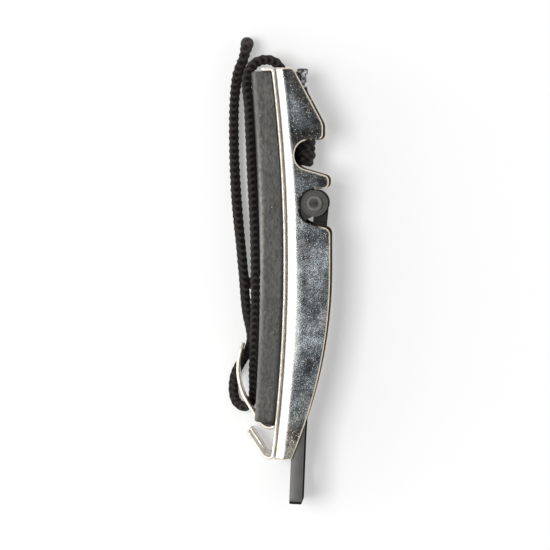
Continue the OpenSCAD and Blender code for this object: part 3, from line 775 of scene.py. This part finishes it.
def light_studio(scene):
    """A bright horizon for the edges, even walls and a dark ceiling over the camera, with two soft lamps."""
    world = bpy.data.worlds.new("studio")
    world.use_nodes = True
    scene.world = world
    f = Nodes(world.node_tree)
    back = f.tree.nodes["Background"].inputs
    around = f.add("ShaderNodeTexCoord").outputs["Generated"]
    height = f.add("ShaderNodeSeparateXYZ", {"Vector": around}).outputs["Z"]
    f.feed(back["Color"], f.ramp(height, [(0.16, 1.0), (0.36, 0.4), (0.8, 0.4), (0.96, 0.05)]))
    f.feed(back["Strength"], 1.25)
    for name, place, across, power in (
        ("left softbox", (-0.45, 0.05, 1.25), 0.55, 11.5),
        ("left panel", (-1.3, 0.0, 0.45), 0.9, 4.0),
    ):
        lamp = bpy.data.lights.new(name, "AREA")
        lamp.size = across
        lamp.energy = power
        obj = bpy.data.objects.new(name, lamp)
        obj.location = place
        obj.rotation_euler = (Vector((0, 0, 0)) - Vector(place)).to_track_quat("-Z", "Y").to_euler()
        scene.collection.objects.link(obj)


def aim_camera(scene):
    """A camera that looks down on the target from far along away, with y upright in the picture."""
    away = Vector((0.056, 0.045, 1.0)).normalized()
    target = Vector((-6.8, -2.9, 18.0)) * MM
    far, wide = 0.8, 149.9 * MM
    data = bpy.data.cameras.new("view")
    data.sensor_fit = "HORIZONTAL"
    data.angle = 2 * math.atan(wide / 2 / far)
    data.clip_start = 0.01
    right = Vector((0, 1, 0)).cross(away).normalized()
    up = away.cross(right)
    cam = bpy.data.objects.new("view", data)
    turn = Matrix((right, up, away)).transposed().to_4x4()
    cam.matrix_world = Matrix.Translation(target + far * away) @ turn
    scene.collection.objects.link(cam)
    scene.camera = cam


class WINDER_OT_stage(bpy.types.Operator):
    """Sets the table, the soft light and the camera over the tool."""

    bl_idname = "winder.stage"
    bl_label = "Table, light and camera"

    def execute(self, context):
        scene = context.scene
        lay_table(scene, tuple(scene.winder_colours.floor))
        light_studio(scene)
        aim_camera(scene)
        scene.view_settings.view_transform = "Standard"
        return {"FINISHED"}


# pieces


def knot_cords(radius, stitch):
    """The knot's cords: four turns, a helix whose ends tuck in, round four short legs that spread upwards."""
    rounds, wide, tall, tuck = 4.15, 2.3, 7.6, 0.03
    share = np.linspace(0, 1, 420)
    angle = 2 * math.pi * rounds * share
    out = np.clip(np.minimum(share, 1 - share) / tuck, 0, 1)
    reach = wide * (0.6 + 0.4 * np.sin(out * math.pi / 2))
    coil = np.column_stack([
        KNOT[0] + reach * np.cos(angle), KNOT[1] - tall / 2 + tall * share, KNOT[2] + reach * np.sin(angle)])
    cords = [knit_tube(spaced(coil, KNIT_STEP, closed=False), radius, stitch)]
    below, above, slim = 4.6, 6.2, 0.95
    for x, z in ((-1.2, 1.1), (1.1, 1.1), (-1.2, -1.1), (1.1, -1.1)):
        low = (x * 0.6, KNOT[1] - below, z * 0.7)
        high = (x, KNOT[1] + above, z * 1.27)
        leg = np.linspace(low, high, 50) + [KNOT[0], 0, MID]
        cords.append(knit_tube(leg, radius * slim, stitch))
    return cords


def sealed_end(place, profile):
    """A melted end: a profile turned about y, swelled by two sine waves, and how burnt each point is."""
    p, faces = revolve(profile, KNIT_SIDES)
    x, y, h = p.T
    a = np.arctan2(y, x)
    swell = 1 + 0.06 * np.sin(3 * a + 2 * h) + 0.04 * np.sin(5 * a - 3 * h)
    length, burn, fade = profile[-1][1], 0.9, 0.5
    burnt = np.clip((h - length + burn) / fade, 0, 1)
    return np.column_stack([place[0] + x * swell, place[1] + h, place[2] - y * swell]), faces, burnt


class WINDER_OT_lanyard(bpy.types.Operator):
    """Knits the doubled cord along its route, with its knot, tails and sealed ends."""

    bl_idname = "winder.lanyard"
    bl_label = "Lanyard"

    def execute(self, context):
        sizes, colours = context.scene.winder_sizes, context.scene.winder_colours
        radius, stitch = sizes.cord / MM / 2, sizes.stitch / MM
        yarn = cord_finish("black knit", tuple(colours.cord))
        seal = seal_finish("sealed nylon", tuple(colours.seal))
        way = smooth_way(ROUTE)
        # the knit spreads and frays where it is folded at the bight
        about, spread = 3.2, 0.3
        fold = np.exp(-((np.linalg.norm(way - BIGHT, axis=1) / about) ** 2))
        tube = knit_tube(way, radius * (1 + spread * fold), stitch)
        cord = put_cords("lanyard_cord", [tube], yarn, "ridge", fray=np.repeat(fold, KNIT_SIDES))
        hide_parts("lanyard")
        knot = put_cords("lanyard_knot_turns", knot_cords(radius, stitch), yarn, "ridge")
        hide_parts("lanyard_knot")
        tubes = [knit_tube(smooth_way(t), radius, stitch) for t in TAILS]
        tails = put_cords("lanyard_tail_pair", tubes, yarn, "ridge")
        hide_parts("lanyard_tails")
        ends = [sealed_end(tail[-1], profile) for tail, profile in zip(TAILS, TIPS)]
        tip = put_cords("lanyard_sealed_ends", ends, seal, "burnt", angle=60)
        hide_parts("tail_tips")
        return {"FINISHED"}


def cheek_contour(step):
    """The cheek's contour in front of the spine: belly, pivot's cut-out, tooth, notch and lobe."""
    behind, front = -20, -3.6
    cut_in, cut_top = PIVOT[0] - CUT_R, PIVOT[1] + CUT_R
    notch_in, notch_top = NOTCH[0] - NOTCH_R, NOTCH[1] + NOTCH_R
    cheek = spaced(outline([
        (behind, TOP, 0.01), (behind, -TOP, 0.01), (LOW_X, -TOP, 0.5), (BELLY_X, BELLY_Y, BELLY_R),
        (BELLY_X, PIVOT[1] - SHOULDER, 2), (cut_in, PIVOT[1] - CUT_LOW, CUT_R), (cut_in, cut_top, CUT_R),
        (TAB_X, cut_top, 1.5), (TAB_X, cut_top + TAB_LEN, 1.5), (notch_in, NOTCH[1] - NOTCH_LOW, NOTCH_R),
        (notch_in, notch_top, NOTCH_R), (LOBE_X, notch_top + 0.5, 1.5), (LOBE_X, TOP - LOBE_DROP, 4),
        (TOP_X, TOP, 1.4)]), step)
    return cheek[cheek[:, 0] > front]


def slot_contour(half):
    """The cord's slot in the upper end of the blank, from right to left."""
    out, deep = 9, TOP - SLOT_DEEP
    slot = outline([
        (half, TOP + out, 0.1), (half + out, TOP, 0.1), (half, TOP, 0.4), (half, deep, SLOT_R),
        (-half, deep, SLOT_R), (-half, TOP, 0.4), (-half - out, TOP, 0.1), (-half, TOP + out, 0.1)])
    return slot[(np.abs(slot[:, 0]) < half + 2) & (slot[:, 1] <= TOP + 1e-6)]


def painted_edge_shade(v):
    """Painted shade on the channel's edge: 1 near the cut-out, further from it below the pivot, and under the
    lobe.
    """
    near, more, drop, fade = 0.4, 1.9, 4, 0.8
    away = np.hypot(v[:, 0] - PIVOT[0], v[:, 1] - PIVOT[1]) - CUT_R
    limit = near + more * np.clip((PIVOT[1] - v[:, 1]) / drop, 0, 1)
    under_x, under_y, under_r = 3.4, 0.3, 1.6
    under = np.hypot(v[:, 0] - under_x, v[:, 1] - NOTCH[1] - NOTCH_R - under_y)
    return 1 - np.clip(np.minimum(away - limit, under - under_r) / fade, 0, 1)


class WINDER_OT_channel(bpy.types.Operator):
    """Folds the plated channel from its flat blank and closes its upper end."""

    bl_idname = "winder.channel"
    bl_label = "Channel body"

    def execute(self, context):
        sizes, colours = context.scene.winder_sizes, context.scene.winder_colours
        t, r, edge = sizes.sheet / MM, sizes.fold / MM, sizes.edge / MM
        step, slot = 0.3, sizes.cord / MM + SLOT_ROOM
        # the fold is pressed flatter than it is wide, so that it opens into the cheek
        drop = 0.65 * r
        flat, arc = MID - drop, 0.5 * math.pi * math.sqrt((r * r + drop * drop) / 2)
        finishes_and_shades = [
            nickel_finish("polished nickel", tuple(colours.nickel), strip=flat + arc),
            rim_finish("tumbled edge", tuple(colours.rim)),
            # the third finish, on the inner faces, is dark as painted shade inside the channel
            plastic_finish("painted shade inside", (0.026, 0.023, 0.02), 0.5, 0.5)]
        side = cheek_contour(step)
        near = np.column_stack([flat + arc + side[:, 0] - bow_x(side[:, 1]) - r, side[:, 1]])
        far = near[::-1] * [-1, 1]
        blank = spaced(np.vstack([near, slot_contour(slot), far]), step)
        # mesh lines: close over the folds and beside them, wider on the cheeks
        folds = flat + arc * np.linspace(0, 1, 10)
        rows = np.linspace(-TOP + 0.8, TOP - 0.8, 71)
        near_cols = np.r_[folds, folds[-1] + 0.35 * np.arange(1, 9), folds[-1] + np.arange(3.6, 16, 1.2)]
        cols = np.r_[-near_cols[::-1], -flat / 2, 0, flat / 2, near_cols]

        def lay(u, v, height):
            """A flat back, folds that are quarters of an ellipse, and cheeks, thickened along the normal."""
            q, sign = np.abs(u), np.sign(u)
            turn = np.clip((q - flat) / arc, 0, 1) * math.pi / 2
            nx, nz = -np.cos(turn) / r, np.sin(turn) / drop
            depth = (t - height) / np.hypot(nx, nz)
            x = bow_x(v) + r * (1 - np.cos(turn)) + np.maximum(q - flat - arc, 0) - depth * nx
            z = np.minimum(q, flat) + drop * np.sin(turn) - depth * nz
            return np.column_stack([x, v, MID + sign * z])

        v, f, kind, blank, crown = sheet_solid([blank], lattice(cols, rows), t, edge, lay)
        # only the outer half of the edge is tumbled bright; the inner half, facing into the channel, keeps
        # the brown of the edge's border as painted shade
        crown = np.where(blank[:, 2] > t / 2, crown, 0)
        # the third mark paints shade on the edge near the pivot's cut-out and under the lobe
        marks = {"reach": np.abs(blank[:, 0]), "crown": crown, "painted_shade": painted_edge_shade(v)}
        shell = put("channel_shell", v, f, finishes_and_shades, "tool", index=kind, marks=marks)
        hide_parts("channel_body")
        x0 = float(bow_x(np.array(TOP))) + t
        z0, z1, deep = t + WALL_GAP, WIDTH - t - WALL_GAP, x0 + WALL_SLOT
        wall = spaced(outline([
            (z0, x0, 0.3), (MID - slot, x0, 0.4), (MID - slot, deep, SLOT_R), (MID + slot, deep, SLOT_R),
            (MID + slot, x0, 0.4), (z1, x0, 0.3), (z1, WALL_X, 0.3), (z0, WALL_X, 0.3)]), step)
        v, f, kind, _, crown = sheet_solid(
            [wall], np.zeros((0, 2)), t, edge, lambda u, w, h: np.column_stack([w, TOP - t + h, u]))
        # its reach lies far past the strip
        marks = {"reach": np.full(len(v), 99.0), "crown": crown}
        end = put("channel_end_wall", v, f, finishes_and_shades, "tool", index=kind, marks=marks)
        return {"FINISHED"}


class WINDER_OT_plate(bpy.types.Operator):
    """Bends the spine plate with its lip and its notched hook."""

    bl_idname = "winder.plate"
    bl_label = "Spine plate"

    def execute(self, context):
        sizes, colours = context.scene.winder_sizes, context.scene.winder_colours
        nickel = nickel_finish("plate nickel", (0.58, 0.51, 0.45))
        worn = [(0.05, 1.0), (0.1, 0.56), (0.975, 0.56), (0.99, 1.0)]
        rim = rim_finish("plate edge", tuple(colours.rim), worn)
        t = PLATE_T - SEAT
        r = BOW_R - PLATE_T / 2
        lip_a = math.degrees(math.asin((TOP - PLATE_T / 2 - BOW_Y - LIP_R) / (r - LIP_R)))
        tail_a = math.degrees(math.asin((TOP - PLATE_T / 2 + BOW_Y - HOOK_R1) / (r - HOOK_R1)))
        path = [
            [LIP], [LIP_R, lip_a - 90], [r, -lip_a - tail_a],
            [HOOK_R1, tail_a - 90], [HOOK_R2, -HOOK_A], [HOOK_LEG]]
        start = BOW + (r - LIP_R) * turned(np.array([1.0, 0.0]), lip_a) + [-LIP, LIP_R]
        end = path_length(path)
        z0, z1, half = PLATE_IN, WIDTH - PLATE_IN, PIN_NOTCH / 2
        deep, round_r = end - PIN_DEEP - half, half * 0.98
        blank = spaced(outline([
            (0, z0, 0.8), (end, z0, 0.9), (end, MID - half, 0.5), (deep, MID - half, round_r),
            (deep, MID + half, round_r), (end, MID + half, 0.5), (end, z1, 0.9), (0, z1, 0.8)]), 0.3)
        # mesh lines: close at the lip and at the hook, wider along the bow
        lip, bow, hook = (0.4, LIP + 1.4, 12), (LIP + 3, end - 13, 40), (end - 12.4, end - 0.6, 34)
        bends = np.concatenate([np.linspace(*run) for run in (lip, bow, hook)])
        lines = lattice(bends, np.linspace(z0 + 0.7, z1 - 0.7, 8))
        v, f, kind, _, crown = sheet_solid([blank], lines, t, sizes.edge / MM, strip_lay(path, start, 0, t))
        plate = put("spine_plate_strip", v, f, [nickel, rim], "tool", index=kind % 2, marks={"crown": crown})
        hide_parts("spine_plate")
        return {"FINISHED"}


class WINDER_OT_clip(bpy.types.Operator):
    """Bends the pocket clip from spring strip."""

    bl_idname = "winder.clip"
    bl_label = "Pocket clip"

    def execute(self, context):
        sizes, colours = context.scene.winder_sizes, context.scene.winder_colours
        bright = bright_finish("spring strip", tuple(colours.spring), 0.24)
        rim = rim_finish("spring strip edge", tuple(colours.spring))
        foot_a = math.degrees(math.asin((FOOT_Y - BOW_Y) / BOW_R))
        path = [[FOOT_LEN], [CLIP_ROOT_R, -foot_a - 90], CLIP_FOLD, CLIP_LEG, CLIP_BOW]
        foot = np.array([BOW_R - PLATE_T - SEAT - CLIP_T / 2, FOOT_LEN / 2])
        start = BOW + turned(foot, foot_a)
        end = path_length(path)
        z0, z1 = MID - CLIP_W / 2, MID + CLIP_W / 2
        blank = rounded(0, end, z0, z1, near=0.6, far=2.2, step=0.25)
        lines = lattice(np.linspace(0.5, end - 0.5, 90), np.linspace(z0 + 0.6, z1 - 0.6, 5))
        v, f, kind, _, crown = sheet_solid(
            [blank], lines, CLIP_T, sizes.edge / MM, strip_lay(path, start, 270 + foot_a, CLIP_T))
        clip = put("pocket_clip_strip", v, f, [bright, rim], "tool", index=kind % 2, marks={"crown": crown})
        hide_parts("pocket_clip")
        return {"FINISHED"}


def pad_surface():
    """The crowned pad as rings of its section along y, with marks for its painted highlight and its painted
    shade.

    The section is a rounded rectangle. At each end it draws in by a quarter circle and then shrinks to a cap.
    Its depth reaches from the plate's bow to the pad's own bow, and swells by the depth's cube times a
    parabola across the width. At the lower end, the side by the plate runs out as a foot.
    """
    soft, runs, seat, fit = 0.7, 70, 0.03, 0.995
    section = rounded(0, PAD_T, MID - PAD_W / 2, MID + PAD_W / 2, near=0.25, far=1.1, step=0.35)
    centre = np.array([PAD_T / 2, MID])
    phi = np.linspace(0, math.pi / 2, 6)
    rise, draw = soft * (1 - np.cos(phi)), soft * (1 - np.sin(phi))
    cap = np.array([0.04, 0.3, 0.55, 0.8])
    one = np.ones(len(cap))
    straight = np.linspace(PAD_LOW + 1, PAD_TOP - 1, runs)
    y = np.r_[PAD_LOW * one, PAD_LOW + rise, straight, PAD_TOP - rise[::-1], PAD_TOP * one]
    inset = np.r_[soft * one, draw, np.zeros(runs), draw[::-1], soft * one]
    shrink = np.r_[cap, np.ones(2 * len(phi) + runs), cap[::-1]]
    ring = section[None] + inset[:, None, None] * inward(section)[None]
    ring = centre + (ring - centre) * shrink[:, None, None]
    deep, z = ring[..., 0], ring[..., 1]
    share = deep / PAD_T
    face, back = bow_x(y, PAD_X, PAD_R, PAD_Y), bow_x(y) - PLATE_T
    # the rubber bears on the plate, swells towards the cord and runs out under the clip
    least, more, from_y, over_y = 0.28, 0.7, -6, 28
    most = (least + more * np.clip((y - from_y) / over_y, 0, 1))[:, None]
    swell = share**3 * (1 - ((z - MID) / (PAD_W / 2)) ** 2) * most
    x = back[:, None] - seat - fit * share * (back - face)[:, None] - swell
    foot_len, foot_z, foot_fade = 1.6, 7.4, 2.2
    side = np.clip((MID + foot_z - z) / foot_fade, 0, 1)
    foot = np.clip(PAD_LOW + 1 - y, 0, 1)[:, None] * (1 - share) * side
    v = np.stack([x, y[:, None] - foot_len * foot, z], -1)
    # painted highlight along the cord's edge, strongest at mid length, and painted shade in the gap that
    # opens along the plate, on the foot and where the face swells towards the cord
    near = np.hypot(deep - PAD_T, PAD_W / 2 - np.abs(z - MID))
    band, ends, mid_y, mid_len = 0.8, 0.35, 8, 20
    highlight_along = ends + (1 - ends) * np.exp(-(((y - mid_y) / mid_len) ** 2))
    painted_highlight = np.exp(-((near / band) ** 2)) * highlight_along[:, None]
    tight, wider, wide_y, wide_len = 0.4, 0.8, 25, 60
    gap = tight + wider * np.clip((wide_y - y) / wide_len, 0, 1)[:, None]
    painted_shade = np.clip(np.maximum(3 * foot + 2 * swell - 0.25, 1.2 - deep / gap), 0, 0.85)
    return v.reshape(-1, 3), ring_faces(*deep.shape), {"painted_highlight": painted_highlight.reshape(-1), "painted_shade": painted_shade.reshape(-1)}


class WINDER_OT_pad(bpy.types.Operator):
    """Moulds the crowned grip pad on the plate."""

    bl_idname = "winder.pad"
    bl_label = "Grip pad"

    def execute(self, context):
        rubber = rubber_finish("grip rubber", tuple(context.scene.winder_colours.grip))
        v, f, marks = pad_surface()
        pad = put("grip_pad_rubber", v, f, [rubber], "tool", angle=50, marks=marks)
        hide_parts("grip_pad")
        return {"FINISHED"}


def arm_blade(turn):
    """The arm's blade, a blank with the tuner window laid along a bent path, and each face's finish or
    painted shade.
    """
    path = [[ARM_LEN - ARM_END - path_length([ARM_BEND]) - ARM_STEP], ARM_BEND, [ARM_END]]
    start = PIVOT + turned(np.array([ARM_T / 2 - HUB_R, ARM_STEP]), turn)
    end = path_length(path)
    z0, z1, half = ARM_Z, WIDTH - ARM_Z, WINDOW_W / 2
    blank = rounded(0, end, z0, z1, near=0.3, far=1.2, step=0.4)
    w0, w1 = end - (WINDOW_END + WINDOW_LEN), end - WINDOW_END
    window = rounded(w0, w1, MID - half, MID + half, near=1.8, far=1.8, step=0.4)[::-1]
    lines = lattice(np.linspace(1, end - 1, 60), np.linspace(z0 + 1, z1 - 1, 6))
    edge, lay = 0.35, strip_lay(path, start, 90 + turn, ARM_T)
    v, f, kind, laid, _ = sheet_solid([blank, window], lines, ARM_T, edge, lay)
    # outer edges in the moulding's own colour; broad faces, window, the root by the hub and the blunt end
    # darker, as painted shade
    root, tip = 6, end - 0.9
    around = len(blank) * (kind == 1).sum() // (len(blank) + len(window))
    place = laid[np.array(f[:around]), 0].mean(1)
    finish_or_shade = np.ones(len(f), int)
    finish_or_shade[:around] = np.where(place > tip, 2, np.where(place > root, 0, 1))
    return (v, f), finish_or_shade


def arm_hub(turn):
    """The arm's bored hub, turned about the pivot, and the neck that steps round the bore to the blade."""
    low, high, bevel = HUB_Z, WIDTH - HUB_Z, 0.25
    hub, faces = revolve([
        (BORE_R, low), (HUB_R - bevel, low), (HUB_R, low + bevel), (HUB_R, high - bevel),
        (HUB_R - bevel, high), (BORE_R, high)], sides=96, bored=True)
    hub[:, :2] += PIVOT
    clear, right, top = BORE_R + 0.1, -HUB_R + ARM_T, ARM_STEP + 0.6
    corners = np.array([
        (-HUB_R, 0), (-clear, 0), (-clear, clear), (right, clear), (right, top), (-HUB_R, top)], float)
    return (hub, faces), prism(turned(corners, turn) + PIVOT, low, high)


class WINDER_OT_arm(bpy.types.Operator):
    """Moulds the fold-out winder arm with its hub and tuner window."""

    bl_idname = "winder.arm"
    bl_label = "Winder arm"

    def execute(self, context):
        colour = tuple(context.scene.winder_colours.arm)
        # the face and end finishes are darker copies of the moulding, painted shade
        finishes_and_shades = [
            plastic_finish("black moulding", colour, 0.34),
            plastic_finish("black moulding painted shade", tint(colour, 0.3), 0.5, shine=0.0),
            plastic_finish("black moulding end painted shade", tint(colour, 0.1), 0.6, shine=0.1)]
        blade, finish_or_shade = arm_blade(180 - ARM_A)
        hub, neck = arm_hub(180 - ARM_A)
        # the hub and the neck take the face finish, painted shade
        finish_or_shade = np.r_[finish_or_shade, np.ones(len(hub[1]) + len(neck[1]), int)]
        v, f = joined(blade, hub, neck)
        arm = put("winder_arm_moulding", v, f, finishes_and_shades, "winder", index=finish_or_shade)
        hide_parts("winder_arm")
        return {"FINISHED"}


class WINDER_OT_hardware(bpy.types.Operator):
    """Gives the pivot, the rivets and the leaf spring their finishes."""

    bl_idname = "winder.hardware"
    bl_label = "Pivot and rivets"

    def execute(self, context):
        # the bracket and barrel go dark past 3.45 mm as a painted shadow in the gap under the cut-out's edge;
        # the screw's levels paint its shading: a dark middle, a bright ring and a dark rim
        dark = turned_finish("blackened steel", (0.055, 0.053, 0.049), 0.5, [(3.45, 1.0), (3.72, 0.12)])
        head = turned_finish("blackened screw", (0.055, 0.054, 0.05), 0.42, [
            (0.5, 0.15), (0.75, 0.35), (1.2, 0.8), (1.8, 1.7), (2.15, 1.7), (2.3, 0.3)])
        steel = bright_finish("rivet steel", (0.6, 0.6, 0.58), 0.3)
        spring = bright_finish("leaf steel", (0.66, 0.65, 0.62), 0.28)
        nylon = plastic_finish("natural nylon", (0.72, 0.69, 0.6), 0.5)
        for node, mat in (
            ("pivot_bracket", dark), ("pivot_barrel", dark), ("pivot_screw", head),
            ("thrust_washers", nylon), ("friction_spring", spring), ("spring_rivet", steel),
            ("clip_rivet", steel), ("spine_rivets", steel),
        ):
            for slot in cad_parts[node].material_slots:
                slot.material = mat
        return {"FINISHED"}


class WINDER_PT_panel(bpy.types.Panel):
    """Lists the pieces of the winder with its sizes and colours."""

    bl_idname = "WINDER_PT_panel"
    bl_label = "String winder"
    bl_space_type = "VIEW_3D"
    bl_region_type = "UI"
    bl_category = "Winder"

    def draw(self, context):
        for group in (context.scene.winder_sizes, context.scene.winder_colours):
            for key in group.__annotations__:
                self.layout.prop(group, key)
        for piece in PIECES:
            self.layout.operator(piece.bl_idname)


PIECES = (
    WINDER_OT_stage,
    WINDER_OT_lanyard,
    WINDER_OT_channel,
    WINDER_OT_plate,
    WINDER_OT_clip,
    WINDER_OT_pad,
    WINDER_OT_arm,
    WINDER_OT_hardware,
)
CLASSES = (WinderSizes, WinderColours, *PIECES, WINDER_PT_panel)


def register():
    """Adds the classes, and the sizes and colours to the scene."""
    for cls in CLASSES:
        bpy.utils.register_class(cls)
    bpy.types.Scene.winder_sizes = bpy.props.PointerProperty(type=WinderSizes)
    bpy.types.Scene.winder_colours = bpy.props.PointerProperty(type=WinderColours)


def unregister():
    """Takes the sizes, the colours and the classes away again."""
    del bpy.types.Scene.winder_colours
    del bpy.types.Scene.winder_sizes
    for cls in reversed(CLASSES):
        bpy.utils.unregister_class(cls)


def main():
    """Builds the stage and the pieces."""
    register()
    bpy.ops.winder.stage()
    bpy.ops.winder.lanyard()
    bpy.ops.winder.channel()
    bpy.ops.winder.plate()
    bpy.ops.winder.clip()
    bpy.ops.winder.pad()
    bpy.ops.winder.arm()
    bpy.ops.winder.hardware()
    bpy.context.view_layer.update()


if __name__ == "__main__":
    main()
